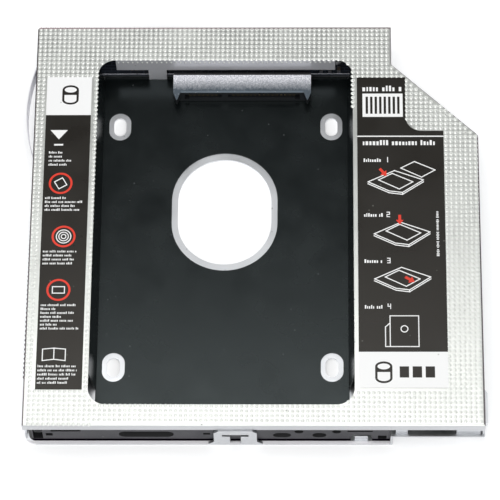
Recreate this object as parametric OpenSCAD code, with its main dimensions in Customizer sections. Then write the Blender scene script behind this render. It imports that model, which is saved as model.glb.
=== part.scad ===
// Drive caddy for a slim notebook bay: a folded pan, an embossed cover with a window,
// a film tray for one small disk drive and a small board that joins the two connectors.
// X runs across, Y from the front lip to the rear wall and Z up from the flat underside.

/* [Caddy] */
// Height of the cover's top above the underside
caddy_h = 12.7; // [12.4:0.1:14]
// Thickness of the pan's sheet
pan_t = 0.65; // [0.5:0.05:0.75]
// Thickness of the cover's sheet
cover_t = 0.4; // [0.3:0.05:0.5]
// Clearance between pieces that slip together
fit_gap = 0.05; // [0.02:0.01:0.08]
// How far the pan's lip stands in front of the cover
lip_out = 0.5; // [0.2:0.1:1]

/* [Shelf and notch] */
// Width of the raised shelf, from the step to the right wall
shelf_w = 25.4; // [24:0.2:27]
// Height of the shelf's underside
shelf_z = 5.6; // [5:0.1:6]
// Width of the cover between the window and the notch at the rear right
notch_gap = 11.25; // [10:0.25:16]
// Depth of the notch where it starts, beside the deep part
notch_in = 12.4; // [9:0.2:16]
// Depth of the notch at the right side wall
notch_out = 35.8; // [30:0.2:42]
// Plan radius of the left front corner
corner_r = 3; // [2:0.1:3.5]

/* [Cover] */
// Width of the cover left of the window
strip_left = 18; // [17:0.5:20]
// Width of the cover right of the window
strip_right = 36; // [34:0.5:40]
// Depth of the cover in front of the window
strip_front = 6.4; // [5.6:0.2:8]
// Depth of the cover behind the window
strip_rear = 10.9; // [10.5:0.1:13]
// Corner radius of the window
window_r = 5; // [3:0.5:8]
// How far the cover's edges fold down from its top
fold_h = 3.1; // [2:0.1:3.6]
// How far the flange at the window's rear edge hangs below the cover's top
flange_h = 6.1; // [5.8:0.1:6.3]
// Width of the flange's foot, which stands on the film
foot_w = 5.3; // [4:0.1:8]
// Distance of the flange's foot from the window's left edge
foot_in = 14.3; // [8:0.1:15]

/* [Drive bay] */
// Distance of the drive's middle line from the window's middle line
drive_off = 0; // [-0.5:0.1:0.5]
// Spacing of the drive's screw slots across
slot_dx = 61.72; // [61:0.02:62.4]
// Spacing of the drive's screw slots front to rear
slot_dy = 76.6; // [75:0.1:78]
// Distance from a slot's middle to the side of the window
slot_side = 6.14; // [5.8:0.02:7]
// Distance from the front slots' middle to the front of the window
slot_front = 16.3; // [14:0.1:18]
// Distance from the rear slots' middle to the rear of the window
slot_rear = 15.8; // [15:0.1:18]
// Width of a screw slot
slot_w = 3.6; // [3.2:0.1:4]
// Length of a screw slot
slot_l = 5.8; // [4.6:0.1:7]
// Width of the hole in the pan's floor
hole_w = 27; // [20:0.5:30]
// Length of the hole in the pan's floor
hole_l = 33.6; // [30.2:0.2:38]
// Distance of that hole's middle behind the slots' middle
hole_back = 10.7; // [8:0.1:14]
// Thickness of the insulating film
film_t = 0.25; // [0.15:0.05:0.3]
// Distance of the film's creases from the sides of the window
crease_in = 1.25; // [1:0.05:2]
// Width of bare metal that the film leaves round each slot
slot_ring = 1.4; // [0.8:0.1:2]
// Width of bare metal that the film leaves round the floor hole
hole_ring = 1.75; // [1:0.05:2.5]
// How far each side flap of the film leans outward
flap_lean = 1.6; // [1:0.1:1.8]

/* [Connectors and board] */
// Distance of the drive connector's middle from the drive's middle line
conn_off = 4.8; // [4.6:0.1:5]
// Height of the drive connector's top above the underside
conn_top = 6.5; // [6.3:0.1:6.55]
// Distance of the connector's mating face from the window's rear edge
conn_front = 7.3; // [6.6:0.1:8]
// Pitch of the connector contacts
pitch = 1.27; // [1.2:0.01:1.3]
// Width of one contact
contact_w = 0.6; // [0.4:0.05:0.8]
// How far the guide arms stand in front of the mating face
arm_l = 2.5; // [1.5:0.1:3]
// Width of a guide arm
arm_w = 2.1; // [1.6:0.1:2.4]
// Height of the board's underside above the caddy's underside
board_z = 1.6; // [1.4:0.1:1.7]
// Thickness of the board
board_t = 1; // [0.8:0.1:1.2]
// Distance of the bay connector's middle from the window's left side
slim_in = 17.5; // [16:0.5:22]

/* [Front] */
// Thickness of the front frame's face
frame_t = 1.8; // [1.2:0.1:2.4]
// Width of the lip's middle tab
tab_w = 12; // [11:0.5:14]
// Height of the tab's top above the underside
tab_h = 9.45; // [8.6:0.05:9.5]
// Distance of the tab's middle from the window's middle
tab_off = 3.9; // [3:0.1:5]

/* [Sides] */
// How far the leaf spring bows out from the left wall
spring_out = 2.7; // [2:0.1:3.5]
// Length of the spring's bow
spring_l = 32; // [26:1:38]
// Height of the leaf spring
spring_h = 5; // [3:0.5:7]
// Thickness of the leaf spring
spring_t = 0.3; // [0.2:0.05:0.4]
// How far the guide pad stands out from the right wall
pad_out = 0.9; // [0.5:0.1:1.5]

/* [Labels] */
// Thickness of a sticker
label_t = 0.1; // [0.06:0.01:0.15]
// Thickness of a printed field
ink_t = 0.05; // [0.03:0.01:0.08]
// Distance of the left sticker from the pan's left side
left_in = 3.35; // [2:0.05:4]
// Distance of the left sticker from the window
left_gap = 1.65; // [1:0.05:3]
// Distance of the right sticker from the pan's right side
right_in = 10; // [9:0.1:12]
// Distance of the right sticker from the window
right_gap = 1.2; // [0.6:0.1:2]

/* [Hidden] */

$fn = 48;
eps = 1;

// Levels
film_z = pan_t + film_t;
board_top = board_z + board_t;
cover_under = caddy_h - cover_t;
wall_top = cover_under;
shelf_top = shelf_z + pan_t;
fold_low = caddy_h - fold_h;

// Width and depth of the window, and of the pan round it
window_w = slot_dx + 2 * slot_side;
window_d = slot_dy + slot_front + slot_rear;
pan_w = strip_left + window_w + strip_right;
pan_d = strip_front + window_d + strip_rear;

// Outline of the pan and the cover
side_x = pan_w / 2;
front_y = -pan_d / 2;
rear_y = pan_d / 2;
lip_y = front_y - lip_out;
step_x = side_x - shelf_w;
notch_w = strip_right - notch_gap;
notch_x = side_x - notch_w;
notch_run = [notch_w, notch_out - notch_in];
notch_n = [notch_run.y, notch_run.x] / norm(notch_run);
jog_in = cover_t + fit_gap;
jog_z = fold_low - fit_gap;
jog_h = 0.7;
wall_x = side_x - pan_t - jog_in;
frame_y = front_y + jog_in;

// Window, drive and connector places
film_under = 2.8;
flap_short = [9.5, 0.8];
window_x0 = strip_left - side_x;
window_x1 = window_x0 + window_w;
window_y0 = front_y + strip_front;
window_y1 = window_y0 + window_d;
window_x = (window_x0 + window_x1) / 2;
drive_x = window_x + drive_off;
slot_y = window_y0 + slot_front + slot_dy / 2;
hole_y = slot_y + hole_back;
film_x0 = window_x0 + crease_in;
film_x1 = window_x1 - crease_in;
film_y0 = window_y0 - film_under;
film_y1 = window_y1 + 2 * cover_t;
flap_front = window_y0 + flap_short[0];
flap_rear = window_y1 - flap_short[1];

// Drive connector: seven signal and fifteen power contacts
signal_n = 7;
power_n = 15;
cavity_edge = 1.6;
key_wall = 1.85;
end_wall = 1.2;
signal_w = (signal_n - 1) * pitch + 2 * cavity_edge;
power_w = (power_n - 1) * pitch + 2 * cavity_edge;
cavity_w = signal_w + key_wall + power_w;
conn_x = drive_x + conn_off;
conn_w = cavity_w + 2 * (end_wall + arm_w);
conn_y0 = window_y1 - conn_front;
conn_y1 = window_y1 - 0.3;
conn_low = film_z + 0.15;
ledge_y = conn_y1 - 1.3;
signal_x = conn_x - cavity_w / 2 + signal_w / 2;
power_x = conn_x + cavity_w / 2 - power_w / 2;
contact_z = board_top + 0.6;
contact_t = 0.25;
cavity_h = 1.8;
cavity_d = 5;

// Bay connector: seven signal and six power contacts on one tongue
slim_power_n = 6;
slim_split = 2.5;
slim_x = window_x0 + slim_in;
slim_row = (signal_n + slim_power_n - 2) * pitch + slim_split;
tongue_w = slim_row + 2;
slim_w = tongue_w + 3.2;
slim_h = 4.8;
slim_y1 = rear_y - pan_t - fit_gap;
slim_y0 = slim_y1 - 7;
slim_back = slim_y0 + 1.5;
tongue_z = board_top + 2;
tongue_t = 1;
leaf_t = 0.15;

// Board outline and its two screws
board_x0 = window_x0 - 9;
board_x1 = window_x1;
board_y0 = window_y1 + cover_t + 0.5;
board_y1 = rear_y - 1.5;
boss_y = rear_y - 5.2;
boss_x = [board_x0 + 2.6, board_x1 - 4];
boss_r = 2.2;
thread_r = 0.8;

// Places of the labels
label_z = caddy_h;
ink_z = caddy_h + label_t;
label_y1 = window_y1 - 5.7;
left_x0 = left_in - side_x;
left_w = strip_left - left_in - left_gap;
left_y0 = window_y0 + 4.4;
right_x0 = window_x1 + right_gap;
right_w = strip_right - right_in - right_gap;
right_y0 = window_y0 + 4.9;
right_head_w = right_w * 0.5645;
right_y1 = label_y1 - 0.2;
right_shoulder = right_y1 - 17.5;
mark_t = 0.28;

// The bounding box is centred on the origin in plan
module place() {
    translate([(spring_out - pad_out) / 2, lip_out / 2, 0]) children();
}

// Helpers
function notch_line(x, inset) =
    (notch_n.x * notch_x + notch_n.y * (rear_y - notch_in) - inset - notch_n.x * x) / notch_n.y;

function plan(inset, front) = [
    [-side_x + inset, front],
    [side_x - inset, front],
    [side_x - inset, notch_line(side_x - inset, inset)],
    [notch_x - inset, notch_line(notch_x - inset, inset)],
    [notch_x - inset, rear_y - inset],
    [-side_x + inset, rear_y - inset]];

function row(n, mid) = [for (i = [0:n - 1]) mid + (i - (n - 1) / 2) * pitch];

module slab(z0, z1) {
    translate([0, 0, z0]) linear_extrude(z1 - z0) children();
}

module across(x0, w) {
    translate([x0, 0, 0]) rotate([90, 0, 90]) linear_extrude(w) children();
}

module upright(y0, y1) {
    translate([0, y1, 0]) rotate([90, 0, 0]) linear_extrude(y1 - y0) children();
}

module stadium(w, l) {
    square([w, l - w], center = true);
    for (s = [-1, 1]) translate([0, s * (l - w) / 2]) circle(d = w);
}

module round_rect(x0, y0, x1, y1, r) {
    translate([x0 + r, y0]) square([x1 - x0 - 2 * r, y1 - y0]);
    translate([x0, y0 + r]) square([x1 - x0, y1 - y0 - 2 * r]);
    for (x = [x0 + r, x1 - r]) for (y = [y0 + r, y1 - r]) translate([x, y]) circle(r);
}

module corner_cut(r) {
    difference() {
        translate([-eps, -eps]) square(r + eps);
        translate([r, r]) circle(r);
    }
}

module drive_slots(w, l) {
    for (sx = [-1, 1]) for (sy = [-1, 1])
        translate([drive_x + sx * slot_dx / 2, slot_y + sy * slot_dy / 2]) stadium(w, l);
}

// Base pan: one folded sheet with a deep part, a raised shelf and a slotted lip tab
module deep_plan(inset, front) {
    intersection() {
        polygon(plan(inset, front));
        translate([-side_x, front]) square([step_x + side_x - inset, rear_y - front]);
    }
}

module shelf_plan(inset, x0, front) {
    intersection() {
        polygon(plan(inset, front));
        translate([x0, front]) square([side_x - x0, rear_y - front]);
    }
}

// The walls step inward behind the cover's folds, so the two sheets end flush
module pan_shell() {
    inner = pan_t + jog_in;
    difference() {
        union() {
            slab(0, jog_z) deep_plan(0, lip_y);
            slab(shelf_z, jog_z) shelf_plan(0, step_x - pan_t, lip_y);
            slab(jog_z - jog_h, wall_top) polygon(plan(jog_in, frame_y));
        }
        slab(pan_t, jog_z - jog_h) deep_plan(pan_t, lip_y - eps);
        slab(shelf_top, jog_z - jog_h) shelf_plan(pan_t, step_x - 2 * pan_t, lip_y - eps);
        slab(jog_z - jog_h - 0.01, wall_top + eps) polygon(plan(inner, lip_y - eps));
        slab(pan_t, wall_top + eps)
            translate([-side_x - eps, lip_y - eps]) square([eps + inner, corner_r + eps]);
        slab(shelf_top, wall_top + eps)
            translate([side_x - inner, lip_y - eps]) square([eps + inner, lip_out + eps]);
        slab(-eps, pan_t + eps) translate([-side_x, lip_y]) corner_cut(corner_r);
    }
}

// Upstands behind the cover's front fold leave the shelf's slot open between them
shelf_slot_in = 4.1;
shelf_slot_w = 13.5;
upstand_in = 0.8;
shelf_slot_x0 = step_x + shelf_slot_in;
shelf_slot_x1 = shelf_slot_x0 + shelf_slot_w;

module shelf_upstands() {
    slab(shelf_top - 0.1, cover_under) {
        translate([step_x + upstand_in, frame_y]) square([shelf_slot_in - upstand_in, pan_t]);
        translate([shelf_slot_x1, frame_y]) square([wall_x - fit_gap - shelf_slot_x1, pan_t]);
    }
}

// Tab folded up from the lip, with a T-shaped slot, cut corners and a flared root
tab_x = window_x + tab_off;
tee_drop = 3.55;
tee_z = tab_h - tee_drop;
tee_w = 7.4;
tee_h = 1.2;
tee_stem = 3;
tee_low = 0.3;
tab_cut = 1.2;
tab_flare = 1.6;

module lip_tab() {
    hw = tab_w / 2;
    upright(lip_y, lip_y + pan_t) translate([tab_x, 0]) difference() {
        polygon([[-hw - tab_flare, 0], [hw + tab_flare, 0], [hw + tab_flare, pan_t], [hw, pan_t + tab_flare],
            [hw, tab_h - tab_cut], [hw - tab_cut, tab_h], [tab_cut - hw, tab_h], [-hw, tab_h - tab_cut],
            [-hw, pan_t + tab_flare], [-hw - tab_flare, pan_t]]);
        translate([-tee_w / 2, tee_z]) square([tee_w, tee_h]);
        translate([-tee_stem / 2, pan_t + tee_low]) square([tee_stem, tee_z - pan_t]);
    }
}

// Small hook that stands in the frame's arched hole
hook_in = 8.7;
hook_x = step_x - hook_in;
hook_w = 3.6;
hook_h = 3.4;

module frame_hook() {
    slab(0, hook_h) translate([hook_x - hook_w / 2, frame_y + 0.3]) square([hook_w, pan_t]);
}

// Pad pressed out of the right wall, with a ramp at each end
pad_l = 11;
pad_y = front_y + 1.5;
pad_ramp = 1.2;
pad_edge = 0.6;

module guide_pad() {
    slab(shelf_top + pad_edge, jog_z - fit_gap) polygon([
        [side_x - pan_t / 2, pad_y], [side_x, pad_y],
        [side_x + pad_out, pad_y + pad_ramp], [side_x + pad_out, pad_y + pad_l - pad_ramp],
        [side_x, pad_y + pad_l], [side_x - pan_t / 2, pad_y + pad_l]]);
}

module base_pan() {
    color([0.78, 0.79, 0.8]) place() difference() {
        union() {
            pan_shell();
            shelf_upstands();
            lip_tab();
            frame_hook();
            guide_pad();
            for (x = boss_x) translate([x, boss_y, 0]) cylinder(r = boss_r, h = board_z);
        }
        slab(-eps, pan_t + eps) {
            drive_slots(slot_w, slot_l);
            translate([drive_x, hole_y]) stadium(hole_w, hole_l);
        }
        for (x = boss_x) translate([x, boss_y, -eps]) cylinder(r = thread_r, h = board_z + 2 * eps);
        upright(rear_y - pan_t - eps, rear_y + eps)
            translate([slim_x - slim_w / 2 - 0.3, board_top - 0.3]) square([slim_w + 0.6, slim_h + 0.6]);
    }
}

// Top cover: one sheet with folded edges, a window and a flange that hangs at its rear edge
flange_x0 = window_x0 + window_r;
flange_x1 = window_x1 - window_r;
foot_x0 = window_x0 + foot_in;

module top_cover() {
    color([0.74, 0.76, 0.73]) place() {
        difference() {
            union() {
                slab(cover_under, caddy_h) polygon(plan(0, front_y));
                slab(fold_low, caddy_h) difference() {
                    polygon(plan(0, front_y));
                    polygon(plan(cover_t, front_y + cover_t));
                }
            }
            slab(cover_under - eps, caddy_h + eps)
                round_rect(window_x0, window_y0, window_x1, window_y1, window_r);
        }
        upright(window_y1, window_y1 + cover_t) {
            translate([flange_x0, caddy_h - flange_h]) square([flange_x1 - flange_x0, flange_h]);
            translate([foot_x0, film_z]) square([foot_w, caddy_h - flange_h - film_z + 0.1]);
        }
    }
}

// Insulating film: the floor of the drive bay with two leaning side flaps
module film_flap(side, x) {
    flap_top = cover_under - fit_gap;
    translate([x, flap_rear, 0]) mirror([side < 0 ? 1 : 0, 0, 0]) rotate([90, 0, 0])
        linear_extrude(flap_rear - flap_front) polygon([[-film_t, pan_t], [0, pan_t],
            [flap_lean, flap_top], [flap_lean - film_t, flap_top]]);
}

module insulating_film() {
    color([0.13, 0.14, 0.15]) place() {
        slab(pan_t, film_z) difference() {
            translate([film_x0, film_y0]) square([film_x1 - film_x0, film_y1 - film_y0]);
            drive_slots(slot_w + 2 * slot_ring, slot_l + 2 * slot_ring + 0.3);
            translate([drive_x, hole_y]) stadium(hole_w + 2 * hole_ring, hole_l + 2 * hole_ring + 0.6);
        }
        film_flap(-1, film_x0);
        film_flap(1, film_x1);
    }
}

// Front frame: a moulded strip with the holes that a bezel clips into
frame_x0 = fit_gap - wall_x;
frame_x1 = step_x - pan_t - fit_gap;
rib_x = [for (x = [-34, -9, 6, 24.1, 34.2]) window_x + x];
round_hole_z = tab_h - 2.1;

// Square holes: place from the left side or from the step, low edge, width and height
left_holes = [[2.6, 2.4, 2.7, 6.5], [6.2, 4.4, 1.9, 1.8], [7.7, 7.4, 8.3, 1.3], [50, 5.1, 1.9, 1.3]];
step_holes = [[-12.6, 7.2, 7, 0.9], [-4.1, 2.2, 2.4, 2.3]];
// Long holes with round ends: place of the middle from the window's middle, height, width and length
long_holes = [[-20.85, 5.4, 3.8, 15.3], [16.85, 4.8, 3, 5], [27.2, 4.8, 3, 3.9]];
// Round holes: place from the window's middle
round_holes = [21.55, 32];
round_hole_d = 2.5;
// Arched hole round the hook: a wide foot and a narrow top
arch = [5.9, 3.7];
arch_top = [2.9, 1.6];
arch_r = 1.5;

module frame_holes() {
    for (h = left_holes) translate([h[0] - side_x, h[1]]) square([h[2], h[3]]);
    for (h = step_holes) translate([step_x + h[0], h[1]]) square([h[2], h[3]]);
    for (h = long_holes) translate([window_x + h[0], h[1]]) rotate(90) stadium(h[2], h[3]);
    for (x = round_holes) translate([window_x + x, round_hole_z]) circle(d = round_hole_d);
    translate([hook_x, 0]) {
        translate([-arch.x / 2, 0]) square(arch);
        translate([-arch_top.x / 2, arch.y - 0.1]) square(arch_top);
        for (s = [-1, 1]) translate([s * arch_top.x / 2, arch.y]) circle(arch_r);
    }
}

module front_frame() {
    color([0.3, 0.3, 0.33]) place() difference() {
        union() {
            slab(pan_t, cover_under) translate([frame_x0, frame_y]) square([frame_x1 - frame_x0, frame_t]);
            slab(cover_under - 1, cover_under)
                translate([frame_x0, frame_y]) square([frame_x1 - frame_x0, frame_t + 1.6]);
            for (x = rib_x) slab(pan_t, cover_under) translate([x, frame_y]) square([1, frame_t + 1.3]);
        }
        upright(frame_y - eps, frame_y + frame_t + 0.01) frame_holes();
        slab(-eps, caddy_h) translate([frame_x0, frame_y]) corner_cut(corner_r - side_x - frame_x0);
    }
}

// Adapter board: a tongue under the drive connector and a strip along the rear wall
module board_plan() {
    translate([board_x0, board_y0]) square([board_x1 - board_x0, board_y1 - board_y0]);
    translate([conn_x - conn_w / 2, conn_y0 + 1.9]) square([conn_w, board_y0 - conn_y0]);
}

module adapter_board() {
    color([0.1, 0.11, 0.12]) place() slab(board_z, board_top) difference() {
        board_plan();
        for (x = boss_x) translate([x, boss_y]) circle(1.1);
    }
}

module board_screws() {
    color([0.7, 0.7, 0.72]) place() for (x = boss_x) translate([x, boss_y, 0]) {
        translate([0, 0, 0.2]) cylinder(r = thread_r - 0.05, h = board_top);
        difference() {
            translate([0, 0, board_top]) cylinder(r1 = 1.9, r2 = 1.6, h = 0.9);
            translate([0, 0, board_top + 0.5]) {
                translate([-1.1, -0.2, 0]) cube([2.2, 0.4, 1]);
                translate([-0.2, -1.1, 0]) cube([0.4, 2.2, 1]);
            }
        }
    }
}

cap_x = [for (x = [9.6, 7, 4.4]) window_x1 - x];

module board_capacitors() {
    color([0.72, 0.62, 0.45]) place() for (x = cap_x)
        translate([x, board_y0 + 0.3, board_top]) cube([1, 1.8, 0.9]);
}

// Drive connector: a receptacle with two keyed cavities between pointed guide arms
arm_h = 2.8;
arm_root = 1;
arm_tip = 0.15;
ledge_drop = 0.9;

module cavity(mid, w, key_side) {
    x0 = mid - w / 2;
    key_w = 1.3;
    translate([x0, conn_y0 - eps, contact_z]) cube([w, cavity_d + eps, cavity_h]);
    translate([key_side < 0 ? x0 : x0 + w - key_w, conn_y0 - eps, contact_z - 1.1])
        cube([key_w, cavity_d + eps, cavity_h]);
}

module guide_arm(side) {
    outer = conn_w / 2;
    inner = outer - arm_w;
    tip_x = (inner + outer) / 2;
    translate([conn_x, 0, 0]) mirror([side < 0 ? 1 : 0, 0, 0]) slab(conn_top - arm_h, conn_top)
        polygon([[inner, conn_y0 + arm_root], [outer, conn_y0 + arm_root], [outer, conn_y0 - arm_tip],
            [tip_x + arm_tip, conn_y0 - arm_l], [tip_x - arm_tip, conn_y0 - arm_l],
            [inner, conn_y0 - arm_tip]]);
}

module drive_connector() {
    color([0.45, 0.46, 0.48]) place() {
        difference() {
            across(conn_x - conn_w / 2, conn_w) polygon([
                [conn_y0, conn_low], [conn_y0, conn_top - 0.4], [conn_y0 + 0.4, conn_top],
                [ledge_y, conn_top], [ledge_y, conn_top - ledge_drop], [conn_y1, conn_top - ledge_drop],
                [conn_y1, board_top], [conn_y0 + 1.85, board_top], [conn_y0 + 1.85, conn_low]]);
            cavity(signal_x, signal_w, -1);
            cavity(power_x, power_w, 1);
            for (x = concat(row(signal_n, signal_x), row(power_n, power_x)))
                translate([x - contact_w / 2, conn_y0 + 1, contact_z])
                    cube([contact_w, conn_y1 - conn_y0, contact_t]);
        }
        for (side = [-1, 1]) guide_arm(side);
    }
}

module drive_contact(x) {
    tail = conn_y1 + contact_t;
    across(x - contact_w / 2, contact_w) polygon([
        [conn_y0 + 0.8, contact_z], [conn_y1, contact_z], [conn_y1, board_top], [tail + 1.1, board_top],
        [tail + 1.1, board_top + contact_t], [tail, board_top + contact_t], [tail, contact_z + contact_t],
        [conn_y0 + 0.8, contact_z + contact_t]]);
}

module drive_signal_contacts() {
    color([0.85, 0.7, 0.35]) place() for (x = row(signal_n, signal_x)) drive_contact(x);
}

module drive_power_contacts() {
    color([0.85, 0.7, 0.35]) place() for (x = row(power_n, power_x)) drive_contact(x);
}

// Bay connector: a plug shell round a tongue, open to the rear
slim_signal_x = slim_x - slim_row / 2 + (signal_n - 1) * pitch / 2;
slim_power_x = slim_x + slim_row / 2 - (slim_power_n - 1) * pitch / 2;

module bay_connector() {
    shell = 0.8;
    color([0.16, 0.16, 0.17]) place() difference() {
        translate([slim_x - slim_w / 2, slim_y0, board_top]) cube([slim_w, slim_y1 - slim_y0, slim_h]);
        difference() {
            translate([slim_x - slim_w / 2 + shell, slim_back, board_top + shell])
                cube([slim_w - 2 * shell, slim_y1 - slim_back + eps, slim_h - 2 * shell]);
            translate([slim_x - tongue_w / 2, slim_back, tongue_z])
                cube([tongue_w, slim_y1 - slim_back - 0.8, tongue_t]);
        }
        for (x = concat(row(signal_n, slim_signal_x), row(slim_power_n, slim_power_x)))
            translate([x - contact_w / 2, slim_y0 - eps, tongue_z + tongue_t])
                cube([contact_w, slim_back - slim_y0 + 2 * eps, leaf_t]);
    }
}

module bay_contact(x) {
    leaf_z = tongue_z + tongue_t;
    across(x - contact_w / 2, contact_w) polygon([
        [slim_y1 - 1.2, leaf_z], [slim_y0, leaf_z], [slim_y0, board_top], [slim_y0 - 1, board_top],
        [slim_y0 - 1, board_top + leaf_t], [slim_y0 - leaf_t, board_top + leaf_t],
        [slim_y0 - leaf_t, leaf_z + leaf_t], [slim_y1 - 1.2, leaf_z + leaf_t]]);
}

module bay_signal_contacts() {
    color([0.85, 0.7, 0.35]) place() for (x = row(signal_n, slim_signal_x)) bay_contact(x);
}

module bay_power_contacts() {
    color([0.85, 0.7, 0.35]) place() for (x = row(slim_power_n, slim_power_x)) bay_contact(x);
}

// Leaf spring on the left wall: a bow between two flat feet
module side_spring() {
    foot = 8;
    mid_y = rear_y - 26;
    half = spring_l / 2;
    radius = (half * half + spring_out * spring_out) / (2 * spring_out);
    color([0.86, 0.87, 0.88]) place() slab((caddy_h - spring_h) / 2, (caddy_h + spring_h) / 2) {
        intersection() {
            difference() {
                translate([-side_x - spring_out + radius, mid_y]) circle(radius, $fn = 180);
                translate([-side_x - spring_out + radius, mid_y]) circle(radius - spring_t, $fn = 180);
            }
            translate([-side_x - 2 * spring_out, mid_y - half]) square([2 * spring_out, spring_l]);
        }
        translate([-side_x - spring_t, mid_y - half - foot]) square([spring_t, foot + 0.6]);
        translate([-side_x - spring_t, mid_y + half - 0.6]) square([spring_t, 4]);
    }
}

// Marks on the labels: rings, bars and plain outlines
module line2d(a, b, t) {
    translate(a) rotate(atan2(b.y - a.y, b.x - a.x)) translate([-t / 2, -t / 2]) square([norm(b - a) + t, t]);
}

module path2d(points, t, closed = true) {
    last = len(points) - 1;
    for (i = [0:last - 1]) line2d(points[i], points[i + 1], t);
    if (closed) line2d(points[last], points[0], t);
}

module ring2d(r, t) {
    difference() {
        circle(r);
        circle(r - t);
    }
}

// Plain bars, one under the other, in place of rows of print
module bars(widths, drop, h) {
    for (i = [0:len(widths) - 1]) translate([0, -i * drop]) square([widths[i], h]);
}

// Drum outline, the common sign for stored data
module drum_mark(w, h, t) {
    lid = 0.32 * w;
    difference() {
        union() {
            translate([-w / 2, -h / 2 + lid]) square([w, h - 2 * lid]);
            for (s = [-1, 1]) translate([0, s * (h / 2 - lid)]) oval(w, 2 * lid);
        }
        union() {
            translate([-w / 2 + t, -h / 2 + lid]) square([w - 2 * t, h - 2 * lid - 1.1 * lid]);
            translate([0, -h / 2 + lid]) oval(w - 2 * t, 2 * (lid - t));
        }
        translate([0, h / 2 - lid]) oval(w - 2 * t, 2 * (lid - t));
    }
}

module oval(w, h) {
    polygon([for (a = [0:15:345]) [w / 2 * cos(a), h / 2 * sin(a)]]);
}

module mark_layer() {
    place() slab(ink_z, ink_z + ink_t) children();
}

// Left label: a white field above a black one. Its print is drawn for a label 13 wide,
// from the label's left edge, and each mark sits at a share of the label's length.
left_u = left_w / 13;
left_l = label_y1 - left_y0;
left_field = 0.1268;
ring_share = [0.649, 0.4777, 0.3083];
ring_x = [5, 6.4, 5.5];
ring_r = 3.4;
ring_t = 0.6;

module left_mark(share, x) {
    translate([left_x0, left_y0 + share * left_l]) scale(left_u) translate([x, 0]) children();
}

module left_label() {
    color([0.17, 0.16, 0.15]) place() slab(label_z, ink_z)
        translate([left_x0, left_y0]) square([left_w, left_l]);
}

module left_label_white() {
    color([0.95, 0.95, 0.93]) mark_layer() {
        difference() {
            translate([left_x0, label_y1 - left_field * left_l]) square([left_w, left_field * left_l]);
            left_mark(0.9402, 6.9) drum_mark(4.8, 6.4, 0.65);
        }
        // Arrow over a tray
        left_mark(0.797, 4) {
            polygon([[-2.5, 2.6], [2.5, 2.6], [0, -0.4]]);
            translate([-1.3, -2.4]) square([2.6, 0.5]);
        }
        // A turned square, a row of arcs and a ring over a bar, one in each red ring
        left_mark(ring_share[0], ring_x[0]) rotate(30)
            path2d([[-1.3, -1.3], [1.3, -1.3], [1.3, 1.3], [-1.3, 1.3]], mark_t);
        left_mark(ring_share[1], ring_x[1]) for (r = [0.8, 1.5, 2.2]) ring2d(r, mark_t);
        left_mark(ring_share[2], ring_x[2]) path2d([[-1.7, -1], [1.7, -1], [1.7, 1], [-1.7, 1]], mark_t);
        // Open booklet
        left_mark(0.1075, 4.9) {
            path2d([[-3.2, -1.9], [0, -1.5], [0, 1.9], [-3.2, 1.6]], mark_t);
            path2d([[0, -1.5], [3.2, -1.9], [3.2, 1.6], [0, 1.9]], mark_t);
        }
        left_mark(0.7465, 1.3) bars([4.2, 4, 6.6, 5.4], 1.3, 0.7);
        left_mark(ring_share[0] - 0.0507, 0.7) bars([6, 10.6, 8.8, 10.2], 1.25, 0.7);
        left_mark(ring_share[1] - 0.0507, 0.7) bars([9.8, 8.4, 9, 8.6], 1.25, 0.7);
        left_mark(ring_share[2] - 0.0507, 0.7) bars([9.8, 4.4, 9.6, 6.4, 9.2, 5, 10.8], 1.2, 0.7);
        left_mark(0.068, 0.5) bars([10.6, 11, 10.8, 9, 8.4], 1.25, 0.7);
    }
}

module left_label_red() {
    color([0.88, 0.22, 0.16]) mark_layer()
        for (i = [0:2]) left_mark(ring_share[i], ring_x[i]) ring2d(ring_r, ring_t);
}

// Right label: a narrow head that widens in a hollow curve, and a white foot.
// Its print is drawn for a label 24.8 wide, in the same way.
right_u = right_w / 24.8;
right_l = right_y1 - right_y0;
right_hollow = 4.5;
right_field = 0.1113;
step_share = [0.7181, 0.5393, 0.3912, 0.2462];

module right_mark(share, x) {
    translate([right_x0, right_y0 + share * right_l]) scale(right_u) translate([x, 0]) children();
}

module right_label() {
    head_x1 = right_x0 + right_head_w;
    shoulder = right_shoulder + right_hollow;
    color([0.17, 0.16, 0.15]) place() slab(label_z, ink_z) difference() {
        union() {
            translate([right_x0, right_y0]) square([right_w, right_shoulder - right_y0]);
            translate([right_x0, right_shoulder - 0.1])
                square([right_head_w, right_y1 - right_shoulder + 0.1]);
            translate([head_x1 - 0.1, right_shoulder - 0.1]) square([right_hollow + 0.1, right_hollow + 0.1]);
        }
        translate([head_x1 + right_hollow, shoulder]) circle(right_hollow);
    }
}

// Plain outline of a tray seen from above one corner, with its near edges doubled
module tray_drawing() {
    path2d([[0, 0], [7.6, 3.6], [15.8, 0.6], [9.8, -3.4], [6, -2.9]], mark_t);
    path2d([[0, -0.6], [6, -3.5], [9.8, -4], [15.8, 0]], mark_t, false);
    line2d([9.8, -3.4], [9.8, -4], mark_t);
}

module drive_drawing() {
    path2d([[0, 0], [3.9, 2.1], [9.8, -0.6], [5.9, -2.9]], mark_t);
}

// Plain numeral made of straight strokes on a two by four grid
module numeral(n) {
    strokes = n == 1 ? [[[1, 0], [1, 4]]] :
        n == 2 ? [[[0, 4], [2, 4]], [[2, 4], [2, 2]], [[2, 2], [0, 2]], [[0, 2], [0, 0]], [[0, 0], [2, 0]]] :
        n == 3 ? [[[0, 4], [2, 4]], [[2, 4], [2, 0]], [[0, 2], [2, 2]], [[0, 0], [2, 0]]] :
        [[[0, 4], [0, 2]], [[0, 2], [2, 2]], [[2, 4], [2, 0]]];
    for (s = strokes) line2d(s[0] * 0.36, s[1] * 0.36, 0.24);
}

module right_label_white() {
    color([0.95, 0.95, 0.93]) mark_layer() difference() {
        right_white_marks();
        right_red_marks();
    }
}

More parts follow.
